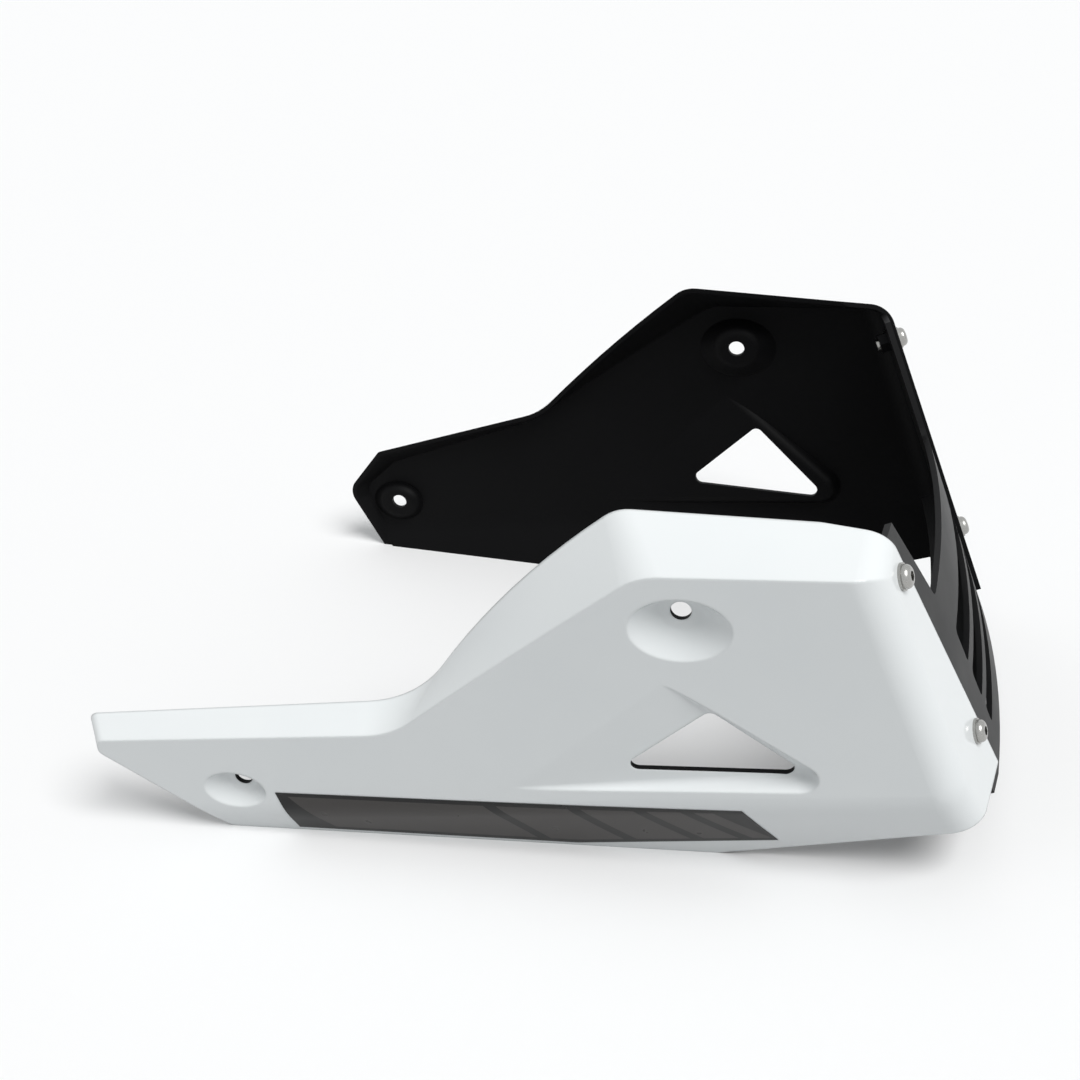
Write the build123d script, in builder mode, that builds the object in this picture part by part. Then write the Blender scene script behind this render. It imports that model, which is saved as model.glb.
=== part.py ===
"""Motorcycle belly pan: two moulded side panels tied together by a front grille.

Millimetres. +X is forward, +Y is left, +Z is up. The pan stands on its lower edges at Z = 0, and
the origin is on that surface, midway along the length and on the plane between the two panels.
"""

import os
from collections import namedtuple
from math import cos, radians, sin, tan

from build123d import *

# Walls of a side panel: the face's distance from the middle, how far inboard of its foot the rim and
# the keel wall stand, and each wall's toe-in and lean
wall = 2.6
face_half_width = 136.2
face_toe = 2.3
face_lean = 5.9
rim_inset = 7.6
rim_toe = 3.1
keel_inset = 10.2
keel_toe = 4.6
keel_lean = 22.8

# Roundings between those walls
keel_blend = 40.0
front_blend = 15.0

# Side outline of the rim, the inner edge of the returns: top and slope
height = 189.6
top_x = 37.3
top_fall = 5.6
top_radius = 17.0
front_reach = 243.3
rim_return = 60.0

# How far the painted face's outline lies inside the rim's outline
bevel_top_forward = 11.6
bevel_top_down = 16.2
bevel_step_back = 10.8
bevel_step_down = 11.0
bevel_tail_down = 8.4
bevel_end = 6.0
bevel_front_down = 2.2
face_bulge = 1.0
face_step_radius = 40.0
face_top_radius = 26.0

# Tail of the right panel: long and pointed
right_tail_end = -217.7
right_tail_z = 63.5
right_nose_z = 47.5
right_nose_radius = 4.5
right_heel_x = -155.7
right_step_x = -53.7
right_step_z = 84.5
right_step_radius = 51.0
right_slope_bulge = 7.0

# Tail of the left panel: short and blunt
left_tail_end = -154.7
left_tail_z = 67.5
left_nose_x = -177.2
left_nose_z = 38.0
left_nose_radius = 12.0
left_heel_x = -156.4
left_step_x = -48.7
left_step_z = 104.5
left_step_radius = 40.0
left_slope_bulge = 2.3
tail_radius = 4.5

# Lower edge: flat on the ground, then rising to the front
keel_end_x = 85.3
keel_rise = 16.7

# Front edge of the panels, where the grille sits, and the wall that returns towards it
edge_x = 157.3
edge_inset = 18.4
edge_z = 165.9
edge_rake = 0.430
edge_draw_in = 0.319
front_sweep = 12.7

# Inboard of the rim only the front wall stays: ahead of the heel by this much, below this height
front_return_z = 55.0
heel_return = 6.0

# Dished seats round the mounting bolts
bolt_bore = 9.0
seat_radius = 8.5
seat_blend = 3.0
upper_bolt_x = 66.6
upper_bolt_drop = 39.8
upper_seat_stand = 3.2
upper_dish_half_width = 23.5
upper_dish_half_height = 17.5
upper_dish_back = 0.0
upper_dish_drop = 4.8
rear_bolt_x = -143.3
rear_bolt_z = 33.2
rear_seat_stand = 2.8
rear_dish_half_width = 16.5
rear_dish_half_height = 12.0
rear_dish_back = 3.6
rear_dish_drop = 5.0
mouth_clearance = 1.0

# Scoop: a three-cornered hollow whose floor sinks towards its front corner, with a window in it
scoop_top_x = 60.3
scoop_top_z = 117.0
scoop_rear_x = -10.7
scoop_rear_z = 44.5
scoop_front_x = 132.3
scoop_front_z = 62.5
scoop_depth = 8.5
scoop_draft = 25.0
scoop_radius = 5.0
window_top_x = 80.0
window_top_z = 100.5
window_rear_x = 39.3
window_rear_z = 61.5
window_front_x = 124.8
window_front_z = 61.0
window_radius = 4.0
window_reach = 25.5

# Grille
grille_thickness = 3.0
grille_top_drop = 7.6
grille_bottom_z = 29.0
grille_bow_top = 11.0
grille_bow_bottom = 4.0
flange_width = 13.5
flange_top_drop = 15.6
notch_bottom_z = 130.0
notch_top_rail = 14.0
notch_flare = 0.21
notch_radius = 6.0
notch_overrun = 20.0
slot_rail_share = 0.33
slot_bands = [(82.5, 102.0), (60.0, 76.0), (43.0, 53.5)]
slot_radius = 3.0
opening_reach = 75.0
blade_depth = 10.0
blade_thickness = 2.0

# Fasteners
screw_diameter = 6.0
screw_clearance = 0.5
screw_inset = 7.2
screw_upper_drop = 21.1
screw_lower_z = 70.0
screw_tail = 1.5
screw_reach = 12.0
head_diameter = 10.5
head_height = 3.3
head_round = 2.6
socket_flats = 4.0
socket_depth = 2.0
washer_diameter = 12.0
washer_thickness = 1.2
nut_flats = 10.0
nut_height = 5.0
thread_clearance = 0.1

# Working room for cuts that pass right through
beyond = 300.0

# Heights that follow the panels' top
upper_bolt_z = height - upper_bolt_drop
grille_top_z = height - grille_top_drop
flange_top_z = height - flange_top_drop
screw_upper_z = height - screw_upper_drop

# Half-widths that follow the foot of the painted face, which leans outboard above it
rim_half_width = face_half_width - rim_inset
keel_half_width = face_half_width - keel_inset
edge_half_width = face_half_width - edge_inset
upper_seat_half_width = face_half_width + upper_seat_stand
rear_seat_half_width = face_half_width + rear_seat_stand


def side_plane(half_width, toe, lean):
    """Plane of a right-hand wall: its normal points outboard, its first axis runs forward."""
    outboard = Vector(tan(radians(toe)), -1, -tan(radians(lean)))
    return Plane(origin=(0, -half_width, 0), x_dir=(1, tan(radians(toe)), 0), z_dir=outboard)


face_plane = side_plane(face_half_width, face_toe, face_lean)
rim_plane = side_plane(rim_half_width, rim_toe, 0)
keel_plane = side_plane(keel_half_width, keel_toe, keel_lean)

# The front wall holds the front edge: its axes run inboard from that edge and up along it
edge_top = Vector(edge_x, -edge_half_width, edge_z)
edge_up = Vector(-edge_rake, -edge_draw_in, 1).normalized()
front_level = Vector(sin(radians(front_sweep)), cos(radians(front_sweep)), 0)
front_normal = front_level.cross(edge_up).normalized()
front_plane = Plane(origin=edge_top, x_dir=edge_up.cross(front_normal), z_dir=front_normal)

# What differs between the two panels
Tail = namedtuple("Tail", "top nose nose_radius heel_x step step_radius slope_bulge")
right_tail = Tail(
    top=(right_tail_end, right_tail_z),
    nose=(right_tail_end, right_nose_z),
    nose_radius=right_nose_radius,
    heel_x=right_heel_x,
    step=(right_step_x, right_step_z),
    step_radius=right_step_radius,
    slope_bulge=right_slope_bulge,
)
left_tail = Tail(
    top=(left_tail_end, left_tail_z),
    nose=(left_nose_x, left_nose_z),
    nose_radius=left_nose_radius,
    heel_x=left_heel_x,
    step=(left_step_x, left_step_z),
    step_radius=left_step_radius,
    slope_bulge=left_slope_bulge,
)


def drawn_in(points, inset):
    """Corners of a closed clockwise outline after each of its sides moves inwards."""
    corners = [Vector(*point) for point in points]
    moved = []
    for before, here, after in zip(corners[-1:] + corners[:-1], corners, corners[1:] + corners[:1]):
        first = (here - before).normalized().rotate(Axis.Z, -90)
        second = (after - here).normalized().rotate(Axis.Z, -90)
        moved.append(here + (first + second) * (inset / (1 + first.dot(second))))
    return moved


def outline(plane, points, tail, step_round, top_round, bulge, inset):
    """Side outline of a panel on a plane, drawn in by an inset."""
    front_low, below, nose, tail_top, step, top, front = drawn_in(points, inset)
    rounds = (
        (step, step_round + inset),
        (top, top_round - inset),
        (tail_top, tail_radius - inset),
        (nose, tail.nose_radius - inset),
    )
    with BuildSketch(plane) as side:
        with BuildLine():
            Polyline(front_low, below, nose, tail_top, step)
            SagittaArc(step, top, bulge)
            Polyline(top, front, front_low)
        make_face()
        for point, size in rounds:
            fillet(side.vertices().sort_by_distance(point)[0], size)
    return side.sketch


def tray(tail, inset):
    """Solid bounded by a panel's outer walls, drawn in by an inset."""
    below = (2 * tail.heel_x - tail.nose[0], -tail.nose[1])
    front_z = height - top_fall
    rim_points = (
        (front_reach, below[1]),
        below,
        tail.nose,
        tail.top,
        tail.step,
        (top_x, height),
        (front_reach, front_z),
    )
    face_points = (
        (front_reach, below[1]),
        (below[0] + bevel_end, below[1]),
        (tail.nose[0] + bevel_end, tail.nose[1]),
        (tail.top[0] + bevel_end, tail.top[1] - bevel_tail_down),
        (tail.step[0] - bevel_step_back, tail.step[1] - bevel_step_down),
        (top_x + bevel_top_forward, height - bevel_top_down),
        (front_reach, front_z - bevel_front_down),
    )
    wall_plane = face_plane.offset(-inset)
    face = outline(wall_plane, face_points, tail, face_step_radius, face_top_radius, face_bulge, inset)
    rim = outline(rim_plane, rim_points, tail, tail.step_radius, top_radius, tail.slope_bulge, inset)
    inner_plane = rim_plane.offset(-rim_return)
    inboard = outline(inner_plane, rim_points, tail, tail.step_radius, top_radius, tail.slope_bulge, inset)
    with BuildPart() as form:
        add(face)
        add(rim)
        add(inboard)
        loft(ruled=True)
        split(bisect_by=keel_plane.offset(-inset), keep=Keep.BOTTOM)
        split(bisect_by=front_plane.offset(-inset), keep=Keep.BOTTOM)
        main = form.faces().filter_by(face_plane).sort_by(Axis.Y)[0]
        keel = form.faces().filter_by(keel_plane).sort_by(Axis.Y)[0]
        fillet(main.edges() & keel.edges(), keel_blend - inset)
        front = form.faces().filter_by(front_plane).sort_by(Axis.X)[-1]
        above = front.edges().filter_by(lambda edge: edge.bounding_box().max.Z > 0)
        fillet(above.sort_by(Axis.Y)[:-1], front_blend - inset)
    return form.part


# What differs between the two dishes
Dish = namedtuple("Dish", "bolt_x bolt_z seat_half_width half_width half_height back drop")
upper_dish = Dish(
    bolt_x=upper_bolt_x,
    bolt_z=upper_bolt_z,
    seat_half_width=upper_seat_half_width,
    half_width=upper_dish_half_width,
    half_height=upper_dish_half_height,
    back=upper_dish_back,
    drop=upper_dish_drop,
)
rear_dish = Dish(
    bolt_x=rear_bolt_x,
    bolt_z=rear_bolt_z,
    seat_half_width=rear_seat_half_width,
    half_width=rear_dish_half_width,
    half_height=rear_dish_half_height,
    back=rear_dish_back,
    drop=rear_dish_drop,
)


def funnel(dish, inset):
    """Skewed funnel from a wide oval mouth on the face to the flat seat round a bolt."""
    seat_place = (dish.bolt_x, inset - dish.seat_half_width, dish.bolt_z)
    seat_plane = Plane(origin=seat_place, x_dir=(1, 0, 0), z_dir=(0, -1, 0))
    mouth_place = (dish.bolt_x - dish.back, (dish.bolt_z - dish.drop) / cos(radians(face_lean)))
    with BuildPart() as cutter:
        with BuildSketch(seat_plane):
            Circle(seat_radius + inset)
        with BuildSketch(face_plane.offset(mouth_clearance)):
            with Locations(mouth_place):
                Ellipse(dish.half_width + inset, dish.half_height + inset)
        loft()
        fillet(cutter.faces().sort_by(Axis.Y)[-1].edges(), seat_blend + inset)
    return cutter.part


# Floor of the scoop: it leaves the face along a hinge line and sinks towards the front corner
scoop_hinge_top = face_plane.from_local_coords(Vector(scoop_top_x, scoop_top_z))
scoop_hinge_rear = face_plane.from_local_coords(Vector(scoop_rear_x, scoop_rear_z))
scoop_low = face_plane.offset(-scoop_depth).from_local_coords(Vector(scoop_front_x, scoop_front_z))
scoop_normal = (scoop_hinge_rear - scoop_hinge_top).cross(scoop_low - scoop_hinge_top)
scoop_plane = Plane(origin=scoop_hinge_rear, x_dir=scoop_low - scoop_hinge_rear, z_dir=scoop_normal)


def scoop(inset):
    """Wedge that hollows the face out round the window."""
    corners = [scoop_plane.to_local_coords(point) for point in (scoop_hinge_rear, scoop_hinge_top, scoop_low)]
    with BuildPart() as cutter:
        with BuildSketch(scoop_plane.offset(-inset)) as triangle:
            with BuildLine():
                Polyline(*drawn_in(corners, -inset), close=True)
            make_face()
            fillet(triangle.vertices().sort_by(Axis.X)[-1], scoop_radius + inset)
        extrude(amount=2 * scoop_depth, taper=-scoop_draft)
        fillet(cutter.faces().sort_by(Axis.Y)[-1].edges(), seat_blend + inset)
    return cutter.part


def skin(tail, inset):
    """A panel's outside with its dishes and scoop, drawn in by an inset."""
    hollows = [funnel(upper_dish, inset), funnel(rear_dish, inset), scoop(inset)]
    body = tray(tail, inset)
    with BuildPart() as form:
        add(body)
        add(hollows, mode=Mode.SUBTRACT)
    return form.part


def rim_core(tail):
    """Everything inboard of the rim, but for the low part of the front wall."""
    with BuildPart() as core:
        with BuildSketch(rim_plane):
            with BuildLine():
                Polyline(
                    (-beyond, -beyond),
                    (tail.heel_x + heel_return, -beyond),
                    (tail.heel_x + heel_return, front_return_z),
                    (beyond, front_return_z),
                    (beyond, beyond),
                    (-beyond, beyond),
                    close=True,
                )
            make_face()
        extrude(amount=-beyond)
        split(bisect_by=front_plane.offset(-wall), keep=Keep.BOTTOM)
    return core.part


def edge_distance(z):
    """Distance up along the front edge from its reference point to a height."""
    return (z - edge_z) / edge_up.Z


screw_places = {
    "upper": (-screw_inset, edge_distance(screw_upper_z)),
    "lower": (-screw_inset, edge_distance(screw_lower_z)),
}
with BuildPart() as screw_holes:
    with BuildSketch(front_plane):
        with Locations(*screw_places.values()):
            Circle((screw_diameter + screw_clearance) / 2)
    extrude(amount=screw_reach, both=True)
    mirror(about=Plane.XZ)


def side_panel(tail):
    """Right-hand side panel with the given tail."""
    outside = skin(tail, 0)
    inside = skin(tail, wall)
    core = rim_core(tail)
    with BuildPart() as panel:
        add(outside)
        add(inside, mode=Mode.SUBTRACT)
        add(core, mode=Mode.SUBTRACT)
        # Front edge
        with BuildSketch(front_plane):
            with Locations((beyond / 2, 0)):
                Rectangle(beyond, 2 * beyond)
        extrude(amount=rim_return, both=True, mode=Mode.SUBTRACT)
        # Lower edge
        with BuildSketch(Plane.XZ):
            with BuildLine():
                rise = beyond * tan(radians(keel_rise))
                Polyline(
                    (-beyond, 0),
                    (keel_end_x, 0),
                    (keel_end_x + beyond, rise),
                    (keel_end_x + beyond, -beyond),
                    (-beyond, -beyond),
                    close=True,
                )
            make_face()
        extrude(amount=beyond, both=True, mode=Mode.SUBTRACT)
        # Bolt holes
        with BuildSketch(Plane.XZ):
            with Locations((upper_bolt_x, upper_bolt_z), (rear_bolt_x, rear_bolt_z)):
                Circle(bolt_bore / 2)
        extrude(amount=beyond, mode=Mode.SUBTRACT)
        # Window
        with BuildSketch(face_plane) as window:
            with BuildLine():
                Polyline(
                    (window_rear_x, window_rear_z),
                    (window_top_x, window_top_z),
                    (window_front_x, window_front_z),
                    close=True,
                )
            make_face()
            fillet(window.vertices(), window_radius)
        extrude(amount=window_reach, both=True, mode=Mode.SUBTRACT)
        # Screw holes in the front wall
        add(screw_holes.part, mode=Mode.SUBTRACT)
    return panel.part


right_panel = side_panel(right_tail)
left_panel = side_panel(left_tail)

with BuildPart() as right_side_panel:
    add(right_panel)

with BuildPart() as left_side_panel:
    add(left_panel)
    mirror(about=Plane.XZ, mode=Mode.REPLACE)

# Grille: a bowed plate between the two front edges, with a flange behind each front wall
slope_up = Vector(-edge_rake, 0, 1).normalized()
slope_out = Vector(0, 1, 0).cross(slope_up)
flange_trace = slope_up.cross(front_normal)
flange_thickness = grille_thickness * slope_out.dot(front_normal)
grille_plane = Plane(origin=(edge_x + edge_rake * edge_z, 0, 0), x_dir=(0, 1, 0), z_dir=slope_out)


def across(point):
    """The point opposite to one, on the other side of the middle."""
    return Vector(-point.X, point.Y)


def grille_section(z, bow, start, depth):
    """Section across the grille where its edges stand at a height, from a start behind its face."""
    edge = edge_top + edge_up * edge_distance(z) - front_normal * wall
    plane = Plane(origin=(edge.X, 0, edge.Z), x_dir=(0, 1, 0), z_dir=slope_up)
    behind = Vector(0, start)
    bend = plane.to_local_coords(edge) + behind
    end = plane.to_local_coords(edge - flange_trace * flange_width) + behind
    crown = Vector(0, -bow) + behind
    back = Vector(0, depth)
    with BuildSketch(plane) as section:
        with BuildLine():
            Line(end, bend)
            ThreePointArc(bend, crown, across(bend))
            Polyline(across(bend), across(end), across(end) + back, across(bend) + back)
            ThreePointArc(across(bend) + back, crown + back, bend + back)
            Polyline(bend + back, end + back, end)
        make_face()
    return section.sketch


def grille_plate(start, depth):
    """Bowed plate with its two flanges, from a start behind the grille's face."""
    top = grille_section(grille_top_z, grille_bow_top, start, depth)
    bottom = grille_section(grille_bottom_z, grille_bow_bottom, start, depth)
    with BuildPart() as plate:
        add(top)
        add(bottom)
        loft(ruled=True)
    return plate.part


def half_width(z):
    """Half of the distance between the two front edges at a height."""
    return edge_half_width + edge_draw_in * (z - edge_z)


def opening(low_z, high_z, low_rail, high_rail, radius):
    """Four-sided opening that leaves a rail along each front edge."""
    low = Vector(half_width(low_z) - low_rail, low_z / slope_up.Z)
    high = Vector(half_width(high_z) - high_rail, high_z / slope_up.Z)
    with BuildSketch(grille_plane) as hole:
        with BuildLine():
            Polyline(low, high, across(high), across(low), close=True)
        make_face()
        fillet(hole.vertices(), radius)
    return hole.sketch


def slot_rail(z):
    """Width of the rail beside the slots at a height."""
    return slot_rail_share * half_width(z)


notch_bottom_rail = notch_top_rail + notch_flare * (grille_top_z - notch_bottom_z)
openings = [
    opening(
        notch_bottom_z,
        grille_top_z + notch_overrun,
        notch_bottom_rail,
        notch_top_rail - notch_flare * notch_overrun,
        notch_radius,
    )
]
for low_z, high_z in slot_bands:
    openings.append(opening(low_z, high_z, slot_rail(low_z), slot_rail(high_z), slot_radius))

plate = grille_plate(0, grille_thickness)
blade_layer = grille_plate(grille_thickness / 2, grille_thickness / 2 + blade_depth)

with BuildPart() as blades:
    add(blade_layer)
    with BuildSketch(grille_plane):
        for low_z, high_z in slot_bands:
            with Locations((0, high_z / slope_up.Z)):
                span = 2 * (half_width(high_z) - slot_rail(high_z))
                Rectangle(span, blade_thickness, align=(Align.CENTER, Align.MIN))
    extrude(amount=beyond, both=True, mode=Mode.INTERSECT)

with BuildPart() as front_grille:
    add(plate)
    add(openings)
    extrude(amount=opening_reach, dir=slope_out, both=True, mode=Mode.SUBTRACT)
    add(blades.part)
    # Top of each flange, clear of the panel's rounded corner
    with BuildSketch(front_plane):
        with Locations((0, edge_distance(flange_top_z))):
            Rectangle(beyond, beyond, align=(Align.MAX, Align.MIN))
    flange_tops = extrude(amount=screw_reach, both=True, mode=Mode.PRIVATE)
    add(flange_tops, mode=Mode.SUBTRACT)
    add(mirror(flange_tops, about=Plane.XZ, mode=Mode.PRIVATE), mode=Mode.SUBTRACT)
    add(screw_holes.part, mode=Mode.SUBTRACT)


def button_screw(plane):
    """Button-head screw with a hex socket, its head on the washer."""
    grip = wall + flange_thickness + nut_height + screw_tail
    with BuildPart() as screw:
        with BuildSketch(plane.offset(washer_thickness)):
            Circle(head_diameter / 2)
        extrude(amount=head_height)
        fillet(screw.faces().sort_by(Axis(plane.origin, plane.z_dir))[-1].edges(), head_round)
        with BuildSketch(plane.offset(washer_thickness + head_height)):
            RegularPolygon(socket_flats / 2, 6, major_radius=False)
        extrude(amount=-socket_depth, mode=Mode.SUBTRACT)
        with BuildSketch(plane.offset(washer_thickness)):
            Circle(screw_diameter / 2)
        extrude(amount=-washer_thickness - grip)
    return screw.part


def flat_washer(plane):
    """Washer between the screw's head and the front wall."""
    with BuildPart() as washer:
        with BuildSketch(plane):
            Circle(washer_diameter / 2)
            Circle((screw_diameter + screw_clearance) / 2, mode=Mode.SUBTRACT)
        extrude(amount=washer_thickness)
    return washer.part


def hex_nut(plane):
    """Nut against the back of the grille's flange."""
    with BuildPart() as nut:
        with BuildSketch(plane.offset(-wall - flange_thickness)):
            RegularPolygon(nut_flats / 2, 6, major_radius=False)
            Circle((screw_diameter + thread_clearance) / 2, mode=Mode.SUBTRACT)
        extrude(amount=-nut_height)
    return nut.part


pieces = {
    "right_side_panel": right_side_panel.part,
    "left_side_panel": left_side_panel.part,
    "front_grille": front_grille.part,
}
makers = {"screw": button_screw, "washer": flat_washer, "nut": hex_nut}
for level, place in screw_places.items():
    seat = Plane(
        origin=front_plane.from_local_coords(Vector(*place)),
        x_dir=front_plane.x_dir,
        z_dir=front_normal,
    )
    for kind, maker in makers.items():
        piece = maker(seat)
        with BuildPart() as right_piece:
            add(piece)
        with BuildPart() as left_piece:
            add(piece)
            mirror(about=Plane.XZ, mode=Mode.REPLACE)
        pieces[f"{kind}_right_{level}"] = right_piece.part
        pieces[f"{kind}_left_{level}"] = left_piece.part

os.makedirs("parts", exist_ok=True)
for name, piece in pieces.items():
    piece.label = name
    export_step(piece, f"parts/{name}.step")
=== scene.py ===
"""Looks of a motorcycle belly pan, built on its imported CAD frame.

The frame's own solids show the two painted side panels, the moulded grille and the fasteners. This
script gives them their finishes and adds a striped film along the lower edge of each panel, a pale
floor, studio light and the camera. Lengths are in metres, with +X forward, +Y left and +Z up.
"""

import logging
import math
from dataclasses import dataclass
from enum import Enum
from functools import cache
from typing import Any

import bpy
import numpy as np
from mathutils import Matrix, Vector


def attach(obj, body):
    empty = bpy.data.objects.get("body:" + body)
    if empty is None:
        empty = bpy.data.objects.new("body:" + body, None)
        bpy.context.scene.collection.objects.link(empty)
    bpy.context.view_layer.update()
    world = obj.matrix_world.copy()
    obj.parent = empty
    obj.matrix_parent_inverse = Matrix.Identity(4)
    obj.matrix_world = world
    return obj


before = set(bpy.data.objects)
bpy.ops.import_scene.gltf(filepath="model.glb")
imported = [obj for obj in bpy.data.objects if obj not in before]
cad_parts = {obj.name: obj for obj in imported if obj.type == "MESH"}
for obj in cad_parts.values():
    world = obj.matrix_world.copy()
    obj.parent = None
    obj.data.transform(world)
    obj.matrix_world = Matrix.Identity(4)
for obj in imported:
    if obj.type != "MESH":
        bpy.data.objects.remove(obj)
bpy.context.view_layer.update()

MM = 0.001
BODY = "root"

log = logging.getLogger("belly_pan")


class Side(Enum):
    """A side of the pan, by the sign of its outboard direction along Y."""

    RIGHT = -1
    LEFT = 1

    @property
    def word(self) -> str:
        """The side's name as the frame's nodes spell it."""
        return self.name.lower()


class Slot(Enum):
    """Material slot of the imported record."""

    MOULDED = "black_moulding"


def linear(hex_colour: str) -> tuple[float, float, float, float]:
    """Turn an sRGB hex colour into linear RGBA.

    Args:
        hex_colour: Six hex digits with a leading #.

    Returns:
        Red, green, blue and an alpha of 1, each from 0 to 1.
    """
    coded = np.array([int(hex_colour[at : at + 2], 16) for at in (1, 3, 5)]) / 255
    light = np.where(coded <= 0.04045, coded / 12.92, ((coded + 0.055) / 1.055) ** 2.4)
    return (*light.tolist(), 1.0)


def add_node(
    tree: bpy.types.NodeTree, kind: str, inputs: dict[str | int, Any] | None = None, **settings: Any
) -> bpy.types.Node:
    """Add a node to a tree.

    Args:
        tree: Tree that gets the node.
        kind: Blender's name for the kind of node.
        inputs: Value of each input by name or number: a socket is linked, anything else is set.
        settings: The node's own properties.

    Returns:
        The new node.
    """
    node = tree.nodes.new(kind)
    for name, value in settings.items():
        setattr(node, name, value)
    for key, value in (inputs or {}).items():
        if isinstance(value, bpy.types.NodeSocket):
            tree.links.new(value, node.inputs[key])
        else:
            node.inputs[key].default_value = value
    return node


def add_math(tree: bpy.types.NodeTree, operation: str, *values: Any) -> bpy.types.NodeSocket:
    """Add a sum, product or other operation on numbers.

    Args:
        tree: Tree that gets the node.
        operation: Blender's name for the operation.
        values: Its numbers or sockets, in order.

    Returns:
        The result's socket.
    """
    return add_node(tree, "ShaderNodeMath", dict(enumerate(values)), operation=operation).outputs[0]


def mix_values(
    tree: bpy.types.NodeTree, share: bpy.types.NodeSocket, low: Any, high: Any
) -> bpy.types.NodeSocket:
    """Mix two numbers.

    Args:
        tree: Tree that gets the node.
        share: 0 for the first number, 1 for the second.
        low: First number or socket.
        high: Second number or socket.

    Returns:
        The mixed number's socket.
    """
    return add_node(tree, "ShaderNodeMix", {0: share, 2: low, 3: high}, data_type="FLOAT").outputs[0]


def mix_colours(
    tree: bpy.types.NodeTree, share: bpy.types.NodeSocket, low_hex: str, high_hex: str
) -> bpy.types.NodeSocket:
    """Mix two colours.

    Args:
        tree: Tree that gets the node.
        share: 0 for the first colour, 1 for the second.
        low_hex: First colour.
        high_hex: Second colour.

    Returns:
        The mixed colour's socket.
    """
    colours = {0: share, 6: linear(low_hex), 7: linear(high_hex)}
    return add_node(tree, "ShaderNodeMix", colours, data_type="RGBA").outputs[2]


def add_noise(tree: bpy.types.NodeTree, size: float, detail: float = 2.0) -> bpy.types.NodeSocket:
    """Add noise that is fixed to the object.

    Args:
        tree: Tree that gets the nodes.
        size: Size of its patches.
        detail: Number of finer layers on them.

    Returns:
        The socket of its level, from 0 to 1.
    """
    place = add_node(tree, "ShaderNodeTexCoord").outputs["Object"]
    noise = add_node(tree, "ShaderNodeTexNoise", {"Vector": place, "Scale": 1 / size, "Detail": detail})
    return noise.outputs[0]


def add_bump(
    tree: bpy.types.NodeTree, level: bpy.types.NodeSocket, height: float, **inputs: bpy.types.NodeSocket
) -> bpy.types.NodeSocket:
    """Add fine relief.

    Args:
        tree: Tree that gets the node.
        level: Level of the relief, from 0 to 1.
        height: Its full height.
        inputs: Other inputs of the node.

    Returns:
        The socket of the tilted normal.
    """
    return add_node(tree, "ShaderNodeBump", {"Distance": height, "Height": level, **inputs}).outputs[0]


def seen_share(tree: bpy.types.NodeTree) -> bpy.types.NodeSocket:
    """Tell rays that show the background from rays that only carry its light.

    Args:
        tree: Tree of the floor's material or the world.

    Returns:
        A socket that is 1 for camera, glossy and transmission rays, and 0 for others.
    """
    path = add_node(tree, "ShaderNodeLightPath").outputs
    mirrored = add_math(tree, "MAXIMUM", path["Is Glossy Ray"], path["Is Transmission Ray"])
    return add_math(tree, "MAXIMUM", path["Is Camera Ray"], mirrored)


def empty_material(name: str) -> tuple[bpy.types.Material, bpy.types.NodeTree]:
    """Make a material whose node tree is empty.

    Args:
        name: Name of the material.

    Returns:
        The material and its node tree.
    """
    material = bpy.data.materials.new(name)
    material.use_nodes = True
    material.node_tree.nodes.clear()
    return material, material.node_tree


def add_surface(tree: bpy.types.NodeTree, inputs: dict[str, Any]) -> None:
    """Add a material's shader and its output.

    Args:
        tree: Tree that gets the nodes.
        inputs: Inputs of the shader.
    """
    shader = add_node(tree, "ShaderNodeBsdfPrincipled", inputs)
    add_node(tree, "ShaderNodeOutputMaterial", {"Surface": shader.outputs[0]})


def unit_grid(rows: int, columns: int) -> tuple[np.ndarray, np.ndarray]:
    """Make an even grid of two parameters.

    Args:
        rows: Number of points along the first one.
        columns: Number of points along the second one.

    Returns:
        Each parameter from 0 to 1, as an array of rows by columns.
    """
    first, second = np.meshgrid(np.linspace(0, 1, rows), np.linspace(0, 1, columns), indexing="ij")
    return first, second


def grid_piece(name: str, points: np.ndarray, uv: np.ndarray) -> bpy.types.Object:
    """Make a mesh object of quads from a grid of points.

    Point (i, j) is joined to its neighbours (i + 1, j), (i + 1, j + 1) and (i, j + 1).

    Args:
        name: Name of the object and its mesh.
        points: Array of rows by columns by 3, in metres.
        uv: Array of rows by columns by 2, for the UV map.

    Returns:
        The object, linked into the scene.
    """
    rows, columns = points.shape[:2]
    number = np.arange(rows * columns).reshape(rows, columns)
    corners = [number[:-1, :-1], number[1:, :-1], number[1:, 1:], number[:-1, 1:]]
    quads = np.stack(corners, axis=-1).reshape(-1, 4)
    mesh = bpy.data.meshes.new(name)
    mesh.from_pydata(points.reshape(-1, 3), [], quads)
    layer = mesh.uv_layers.new(name="film")
    layer.data.foreach_set("uv", uv.reshape(-1, 2)[quads.reshape(-1)].astype(np.float32).reshape(-1))
    mesh.polygons.foreach_set("use_smooth", np.ones(len(quads), dtype=bool))
    mesh.update()
    piece = bpy.data.objects.new(name, mesh)
    bpy.context.collection.objects.link(piece)
    return piece


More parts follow.
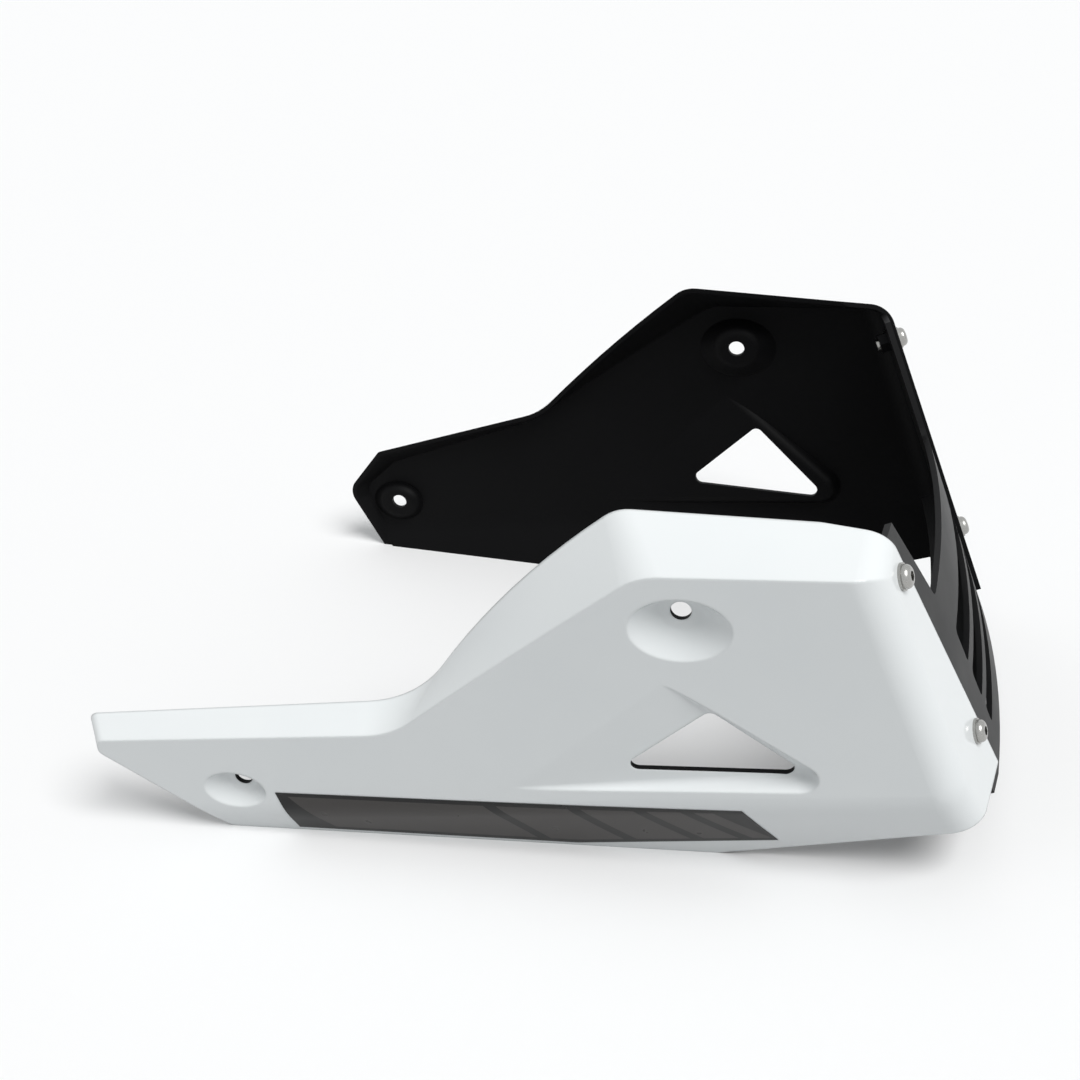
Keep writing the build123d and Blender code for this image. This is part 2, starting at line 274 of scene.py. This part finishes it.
@dataclass(frozen=True)
class GlossPaint:
    """White two-pack paint, sprayed on and left to flow.

    It gives a clean, mirror-like skin with a faint orange peel, and it pulls back from sharp corners,
    so that they catch the light as narrow rounds.
    """

    paint_hex: str = "#F1F4F4"
    shade_hex: str = "#EAEEEF"
    roughness: float = 0.1
    ior: float = 1.5
    edge_round: float = 1.8 * MM
    edge_samples: int = 6
    peel_size: float = 3.0 * MM
    peel_height: float = 0.006 * MM
    cloud_size: float = 70 * MM
    cloud_detail: float = 3.0

    @cache
    def material(self) -> bpy.types.Material:
        """Make the paint's material.

        Returns:
            The material, made once.
        """
        material, tree = empty_material("white_gloss_paint")
        cloud = add_noise(tree, self.cloud_size, self.cloud_detail)
        peel = add_noise(tree, self.peel_size)
        round_edge = add_node(tree, "ShaderNodeBevel", {"Radius": self.edge_round}, samples=self.edge_samples)
        surface = {
            "Base Color": mix_colours(tree, cloud, self.paint_hex, self.shade_hex),
            "Roughness": self.roughness,
            "IOR": self.ior,
            "Normal": add_bump(tree, peel, self.peel_height, Normal=round_edge.outputs[0]),
        }
        add_surface(tree, surface)
        return material


@dataclass(frozen=True)
class GrainedPlastic:
    """Black plastic as it leaves the mould, with the grain of the tool on it."""

    name: str
    dark_hex: str
    light_hex: str
    roughness_low: float
    roughness_high: float
    ior: float
    shine: float
    grain_size: float
    grain_height: float
    cloud_size: float
    cloud_detail: float = 4.0

    @cache
    def material(self) -> bpy.types.Material:
        """Make the plastic's material.

        Returns:
            The material, made once.
        """
        material, tree = empty_material(self.name)
        cloud = add_noise(tree, self.cloud_size, self.cloud_detail)
        grain = add_noise(tree, self.grain_size)
        surface = {
            "Base Color": mix_colours(tree, cloud, self.dark_hex, self.light_hex),
            "Roughness": mix_values(tree, cloud, self.roughness_low, self.roughness_high),
            "IOR": self.ior,
            "Specular IOR Level": self.shine,
            "Normal": add_bump(tree, grain, self.grain_height),
        }
        add_surface(tree, surface)
        return material


# ABS, bare inside the shell and on its cut edges: a fine-ground mould gives it a deep, dull black
MOULDED_ABS = GrainedPlastic(
    name="moulded_abs",
    dark_hex="#060607",
    light_hex="#0D0D0E",
    roughness_low=0.5,
    roughness_high=0.62,
    ior=1.54,
    shine=0.08,
    grain_size=1.2 * MM,
    grain_height=0.04 * MM,
    cloud_size=45 * MM,
)

# Polypropylene from a spark-eroded tool, whose even pits give a satin black with soft, wide highlights
TEXTURED_POLYPROPYLENE = GrainedPlastic(
    name="textured_polypropylene",
    dark_hex="#0C0C0D",
    light_hex="#141415",
    roughness_low=0.42,
    roughness_high=0.56,
    ior=1.49,
    shine=0.2,
    grain_size=0.9 * MM,
    grain_height=0.05 * MM,
    cloud_size=35 * MM,
)


class Metal(Enum):
    """Metals of the fasteners, with their colour and roughness."""

    STAINLESS = ("#A6A5A2", 0.2)
    BLACKENED = ("#1C1C1D", 0.45)


@dataclass(frozen=True)
class TurnedMetal:
    """Bare metal with the fine marks of its making.

    Stainless screws and washers are tumbled bright. Blackened steel nuts are dark and duller.
    """

    metal: Metal
    mark_size: float = 0.7 * MM
    mark_height: float = 0.02 * MM
    roughness_spread: float = 0.12

    @cache
    def material(self) -> bpy.types.Material:
        """Make the metal's material.

        Returns:
            The material, made once.
        """
        hex_colour, roughness = self.metal.value
        material, tree = empty_material(f"tumbled_{self.metal.name.lower()}")
        marks = add_noise(tree, self.mark_size)
        surface = {
            "Base Color": linear(hex_colour),
            "Metallic": 1.0,
            "Roughness": mix_values(tree, marks, roughness, roughness + self.roughness_spread),
            "Normal": add_bump(tree, marks, self.mark_height),
        }
        add_surface(tree, surface)
        return material


@dataclass(frozen=True)
class PrintedVinyl:
    """Calendered vinyl film, printed grey on black.

    A long grey bar breaks up into slanted bars that get shorter towards the front, inside a black
    border. The film is a little duller than the paint round it.
    """

    ground_hex: str = "#080808"
    bar_hex: str = "#403D3B"
    roughness: float = 0.3
    roughness_spread: float = 0.06
    ior: float = 1.53
    shine: float = 0.25
    border: float = 3.2 * MM
    slant: float = 16 * MM
    gap: float = 6 * MM
    bars: tuple[float, ...] = (96 * MM, 34 * MM, 24 * MM, 16 * MM, 10 * MM)
    scuff_size: float = 9 * MM

    def bar_share(
        self, tree: bpy.types.NodeTree, along: bpy.types.NodeSocket, length: float
    ) -> bpy.types.NodeSocket:
        """Part the bars from the gaps between them.

        Args:
            tree: Tree that gets the node.
            along: Place along the film, from 0 to 1.
            length: Length of the film.

        Returns:
            A socket that is 1 on a bar and 0 off it.
        """
        lengths = np.array(self.bars)
        before = np.cumsum(lengths + self.gap) - lengths - self.gap
        starts = self.border + self.slant + before
        steps = add_node(tree, "ShaderNodeValToRGB", {0: along})
        ramp = steps.color_ramp
        ramp.interpolation = "CONSTANT"
        ramp.elements.remove(ramp.elements[1])
        ramp.elements[0].color = linear("#000000")
        for start, end in zip(starts / length, (starts + lengths) / length):
            ramp.elements.new(float(start)).color = linear("#FFFFFF")
            ramp.elements.new(float(end)).color = linear("#000000")
        return steps.outputs[0]

    @cache
    def material(self, length: float, width: float) -> bpy.types.Material:
        """Make the film's material.

        Args:
            length: Length of the film, which the first UV axis spans.
            width: Width of the film, which the second UV axis spans.

        Returns:
            The material, made once for each size.
        """
        material, tree = empty_material("printed_vinyl")
        place = add_node(tree, "ShaderNodeTexCoord").outputs["UV"]
        across = add_node(tree, "ShaderNodeSeparateXYZ", {0: place}).outputs
        leaned = add_math(tree, "MULTIPLY_ADD", across["Y"], self.slant / length, across["X"])
        middle = 0.5
        inside = add_math(tree, "COMPARE", across["Y"], middle, middle - self.border / width)
        printed = add_math(tree, "MULTIPLY", self.bar_share(tree, leaned, length), inside)
        scuffs = add_noise(tree, self.scuff_size)
        low, high = self.roughness - self.roughness_spread, self.roughness + self.roughness_spread
        surface = {
            "Base Color": mix_colours(tree, printed, self.ground_hex, self.bar_hex),
            "Roughness": mix_values(tree, scuffs, low, high),
            "IOR": self.ior,
            "Specular IOR Level": self.shine,
        }
        add_surface(tree, surface)
        return material


def dress(node: str, *finishes: bpy.types.Material) -> None:
    """Give a CAD node its finishes and log it.

    Args:
        node: Name of the node.
        finishes: Materials for its slots, in order.
    """
    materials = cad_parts[node].data.materials
    materials.clear()
    for finish in finishes:
        materials.append(finish)
    log.info("dressed %s with %s", node, ", ".join(finish.name for finish in finishes))


@dataclass
class SidePanel:
    """A painted side panel and the striped film along its lower edge.

    The film lies on the outside of the panel, which there is the painted face, leaning out, then a
    round of a fixed radius, then the lower wall, leaning out more.
    """

    side: Side
    paint: GlossPaint
    plastic: GrainedPlastic
    film: PrintedVinyl

    # Limits on the outboard part of a polygon's normal that tell painted skin from bare plastic, and the
    # corners in X and Z of the two boxes, at the window and the rear dish, that have their own
    edge_limit: float = 0.03
    window_limit: float = 0.13
    window_low: tuple[float, float] = (36 * MM, 58 * MM)
    window_high: tuple[float, float] = (128 * MM, 104 * MM)
    seat_limit: float = 0.4
    seat_low: tuple[float, float] = (-157 * MM, 37 * MM)
    seat_high: tuple[float, float] = (-129 * MM, 46 * MM)

    # Walls of the panel that the film lies on
    face_half_width: float = 136.2 * MM
    face_toe: float = math.radians(2.3)
    face_lean: float = math.radians(5.9)
    keel_half_width: float = 126.0 * MM
    keel_toe: float = math.radians(4.6)
    keel_lean: float = math.radians(22.8)
    keel_blend: float = 40 * MM

    # Outline of the film
    film_thickness: float = 0.25 * MM
    film_rear: float = -126 * MM
    film_front: float = 96 * MM
    film_rear_slant: float = 7 * MM
    film_front_slant: float = 17 * MM
    film_top: float = 36.4 * MM
    film_top_rise: float = 0.0525
    film_foot: float = 2.6 * MM
    film_foot_rise: float = 0.145
    film_rows: int = 120
    film_columns: int = 40

    @property
    def node(self) -> str:
        """Name of the panel's CAD node."""
        return f"{self.side.word}_side_panel"

    def half_width(self, x: np.ndarray, z: np.ndarray) -> np.ndarray:
        """Distance of the panel's outside from the middle plane.

        The face and the lower wall are planes, each with a half width at the origin, less its
        toe-in forward and more by its lean upward. The lesser one counts. Near their crease a
        parabola that touches both planes takes its place, as wide as the round of that radius.

        Args:
            x: Places along the pan.
            z: Heights.

        Returns:
            The distance at each place and height.
        """
        face = self.face_half_width - math.tan(self.face_toe) * x + math.tan(self.face_lean) * z
        keel = self.keel_half_width - math.tan(self.keel_toe) * x + math.tan(self.keel_lean) * z
        bend = math.tan(self.keel_lean) - math.tan(self.face_lean)
        reach = self.keel_blend * math.tan((self.keel_lean - self.face_lean) / 2)
        from_crease = np.clip((face - keel) / bend, -reach, reach)
        return np.minimum(face, keel) - bend * (reach - np.abs(from_crease)) ** 2 / (4 * reach)

    def film_points(self, along: np.ndarray, up: np.ndarray) -> np.ndarray:
        """Points of the film.

        The first parameter runs from rear to front between two slanted ends, the second from a foot
        line, level and then rising, to a top line that rises evenly. Each point stands off the
        panel's outside by the film's thickness.

        Args:
            along: First parameter, from 0 to 1.
            up: Second parameter, from 0 to 1.

        Returns:
            Array of rows by columns by 3.
        """
        rear = self.film_rear + self.film_rear_slant * (1 - up)
        front = self.film_front + self.film_front_slant * (1 - up)
        x = rear + (front - rear) * along
        top = self.film_top + self.film_top_rise * x
        foot = np.maximum(self.film_foot, self.film_foot_rise * x)
        z = foot + (top - foot) * up
        y = self.side.value * (self.half_width(x, z) + self.film_thickness)
        return np.stack([x, y, z], axis=-1)

    def build(self) -> bpy.types.Object:
        """Make the striped film.

        Returns:
            The film, riding on the pan.
        """
        along, up = unit_grid(self.film_rows, self.film_columns)
        points = self.film_points(along, up)
        uv = np.stack([along, up], axis=-1)
        if self.side is Side.LEFT:
            points, uv = points[:, ::-1], uv[:, ::-1]
        piece = grid_piece(f"stripe_film_{self.side.word}", points, uv)
        length = self.film_front - self.film_rear
        piece.data.materials.append(self.film.material(length, self.film_top))
        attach(piece, BODY)
        log.info("built %s", piece.name)
        return piece

    def dress(self) -> None:
        """Paint the panel where it faces outboard, and leave its inside and cut edges bare.

        A polygon is painted where the outboard part of its normal is above a limit, which is low along
        the rim and higher round the window, whose lower edge leans outboard. The rear dish overhangs
        at its top, so there the steep polygons that face down are the painted ones.
        """
        dress(self.node, self.plastic.material(), self.paint.material())
        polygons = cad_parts[self.node].data.polygons
        normals, centres = np.empty((2, len(polygons) * 3), dtype=np.float32)
        polygons.foreach_get("normal", normals)
        polygons.foreach_get("center", centres)
        outboard = normals[1::3] * self.side.value
        places = centres.reshape(-1, 3)[:, [0, 2]]
        at_window = np.all((places > self.window_low) & (places < self.window_high), axis=1)
        at_seat = np.all((places > self.seat_low) & (places < self.seat_high), axis=1)
        limits = np.where(at_window, self.window_limit, self.edge_limit)
        overhung = at_seat & (np.abs(outboard) < self.seat_limit)
        painted = np.where(overhung, normals[2::3] < 0, outboard > limits)
        polygons.foreach_set("material_index", painted.astype(np.int32))


@dataclass
class FrontGrille:
    """The moulded grille between the two panels."""

    moulding: GrainedPlastic
    node: str = "front_grille"

    def dress(self) -> None:
        """Give the grille its moulded finish."""
        dress(self.node, self.moulding.material())


@dataclass
class FastenerSet:
    """The screws, washers and nuts that hold the grille."""

    bright: TurnedMetal
    blackened: TurnedMetal
    levels: tuple[str, ...] = ("upper", "lower")

    def dress(self) -> None:
        """Give every screw, washer and nut its metal."""
        metals = {"screw": self.bright, "washer": self.bright, "nut": self.blackened}
        for side in Side:
            for level in self.levels:
                for kind, metal in metals.items():
                    dress(f"{kind}_{side.word}_{level}", metal.material())


@dataclass
class Studio:
    """Pale floor, one soft key lamp and a white surround."""

    floor_size: float = 12.0
    floor_points: int = 3
    floor_hex: str = "#F7F7F7"
    bounce_hex: str = "#BABBBC"
    floor_roughness_low: float = 0.7
    floor_roughness_high: float = 1.0
    floor_cloud: float = 0.6
    zenith_strength: float = 0.6
    horizon_strength: float = 0.15
    seen_strength: float = 1.0
    sky_hex: str = "#FAFCFD"
    lamp_strength: float = 2.25
    lamp_spread: float = math.radians(32)
    lamp_from: tuple[float, float, float] = (0.5, -0.37, 1.0)

    def build(self) -> None:
        """Lay the floor, hang the lamp and set the surround."""
        self.lay_floor()
        self.hang_lamp()
        self.set_surround()

    def lay_floor(self) -> None:
        """Make the floor, flat under the pan: white to the eye and in mirrors, greyer as a reflector."""
        along, across = unit_grid(self.floor_points, self.floor_points)
        uv = np.stack([along, across], axis=-1)
        points = np.stack([along - 0.5, across - 0.5, np.zeros_like(along)], axis=-1) * self.floor_size
        floor = grid_piece("studio_floor", points, uv)
        material, tree = empty_material("painted_studio_floor")
        cloud = add_noise(tree, self.floor_cloud)
        surface = {
            "Base Color": mix_colours(tree, seen_share(tree), self.bounce_hex, self.floor_hex),
            "Roughness": mix_values(tree, cloud, self.floor_roughness_low, self.floor_roughness_high),
        }
        add_surface(tree, surface)
        floor.data.materials.append(material)
        log.info("laid %s", floor.name)

    def hang_lamp(self) -> None:
        """Hang one wide lamp high to the front right, which models the dishes and keeps shadows soft."""
        lamp = bpy.data.lights.new("key_softbox", "SUN")
        lamp.energy = self.lamp_strength
        lamp.angle = self.lamp_spread
        holder = bpy.data.objects.new("key_softbox", lamp)
        holder.rotation_euler = Vector(self.lamp_from).to_track_quat("Z", "Y").to_euler()
        bpy.context.collection.objects.link(holder)

    def set_surround(self) -> None:
        """Make the surround: white to the eye and in mirrors, and as a light brightest overhead."""
        world = bpy.data.worlds.new("studio_surround")
        world.use_nodes = True
        tree = world.node_tree
        tree.nodes.clear()
        direction = add_node(tree, "ShaderNodeTexCoord").outputs["Generated"]
        height = add_node(tree, "ShaderNodeSeparateXYZ", {0: direction}).outputs["Z"]
        overhead = mix_values(tree, height, self.horizon_strength, self.zenith_strength)
        strength = mix_values(tree, seen_share(tree), overhead, self.seen_strength)
        sky = add_node(tree, "ShaderNodeBackground", {"Color": linear(self.sky_hex), "Strength": strength})
        add_node(tree, "ShaderNodeOutputWorld", {"Surface": sky.outputs[0]})
        bpy.context.scene.world = world


@dataclass
class PhotoCamera:
    """Camera that stands where the photograph was taken from."""

    position: tuple[float, float, float] = (120.945 * MM, -664.406 * MM, 496.677 * MM)
    azimuth: float = math.radians(12.213)
    elevation: float = math.radians(30.589)
    roll: float = math.radians(-1.963)
    lens: float = 50.0
    sensor: float = 36.0

    def build(self) -> bpy.types.Object:
        """Make the camera.

        It looks down by its elevation, turned from +Y by its azimuth, and leans by its roll.

        Returns:
            The camera, set as the scene's own.
        """
        ahead = Vector(
            (
                -math.sin(self.azimuth) * math.cos(self.elevation),
                math.cos(self.azimuth) * math.cos(self.elevation),
                -math.sin(self.elevation),
            )
        )
        level = Vector((math.cos(self.azimuth), math.sin(self.azimuth), 0))
        upright = level.cross(ahead)
        right = level * math.cos(self.roll) + upright * math.sin(self.roll)
        up = upright * math.cos(self.roll) - level * math.sin(self.roll)
        data = bpy.data.cameras.new("photo_camera")
        data.lens = self.lens
        data.sensor_width = self.sensor
        camera = bpy.data.objects.new("photo_camera", data)
        turn = Matrix((right, up, -ahead)).transposed().to_4x4()
        camera.matrix_world = Matrix.Translation(self.position) @ turn
        bpy.context.collection.objects.link(camera)
        bpy.context.scene.camera = camera
        return camera


def main() -> None:
    """Build and dress the pan, then set the scene."""
    logging.basicConfig(level=logging.INFO, format="%(message)s")
    paint = GlossPaint()
    film = PrintedVinyl()
    for side in Side:
        panel = SidePanel(side, paint, MOULDED_ABS, film)
        panel.dress()
        panel.build()
    FrontGrille(TEXTURED_POLYPROPYLENE).dress()
    FastenerSet(TurnedMetal(Metal.STAINLESS), TurnedMetal(Metal.BLACKENED)).dress()
    Studio().build()
    PhotoCamera().build()
    bpy.context.scene.view_settings.view_transform = "Standard"


if __name__ == "__main__":
    main()
